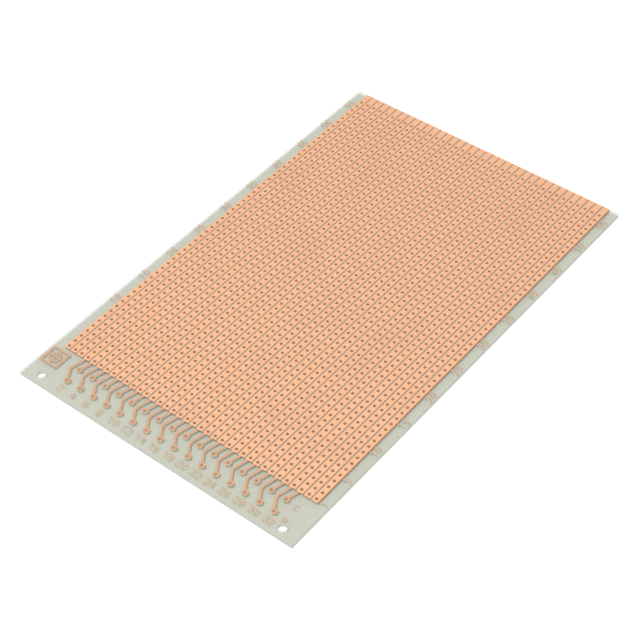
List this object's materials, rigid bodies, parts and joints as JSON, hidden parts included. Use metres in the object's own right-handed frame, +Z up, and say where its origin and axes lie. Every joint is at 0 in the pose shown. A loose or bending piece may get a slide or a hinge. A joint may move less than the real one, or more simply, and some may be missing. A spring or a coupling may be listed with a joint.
{
  "type": "prototype board",
  "caption": "Single-sided glass-epoxy prototype board with parallel copper strips on a drilled grid and a two-row pad field for an edge connector.",
  "frame": {"origin": "centre of the card's underside", "axes": "+X across the copper strips, +Y along them away from the connector edge, +Z up out of the copper side"},
  "size_m": [0.1, 0.16, 0.0015],
  "materials": {
    "laminate": "satin translucent glass-epoxy",
    "copper": "bare etched copper foil, dull"
  },
  "bodies": {
    "root": {"laminate": "laminate", "strip_01": "copper", "strip_02": "copper", "strip_03": "copper", "strip_04": "copper", "strip_05": "copper", "strip_06": "copper", "strip_07": "copper", "strip_08": "copper", "strip_09": "copper", "strip_10": "copper", "strip_11": "copper", "strip_12": "copper", "strip_13": "copper", "strip_14": "copper", "strip_15": "copper", "strip_16": "copper", "strip_17": "copper", "strip_18": "copper", "strip_19": "copper", "strip_20": "copper", "strip_21": "copper", "strip_22": "copper", "strip_23": "copper", "strip_24": "copper", "strip_25": "copper", "strip_26": "copper", "strip_27": "copper", "strip_28": "copper", "strip_29": "copper", "strip_30": "copper", "strip_31": "copper", "strip_32": "copper", "strip_33": "copper", "strip_34": "copper", "strip_35": "copper", "strip_36": "copper", "strip_37": "copper"}
  },
  "joints": []
}
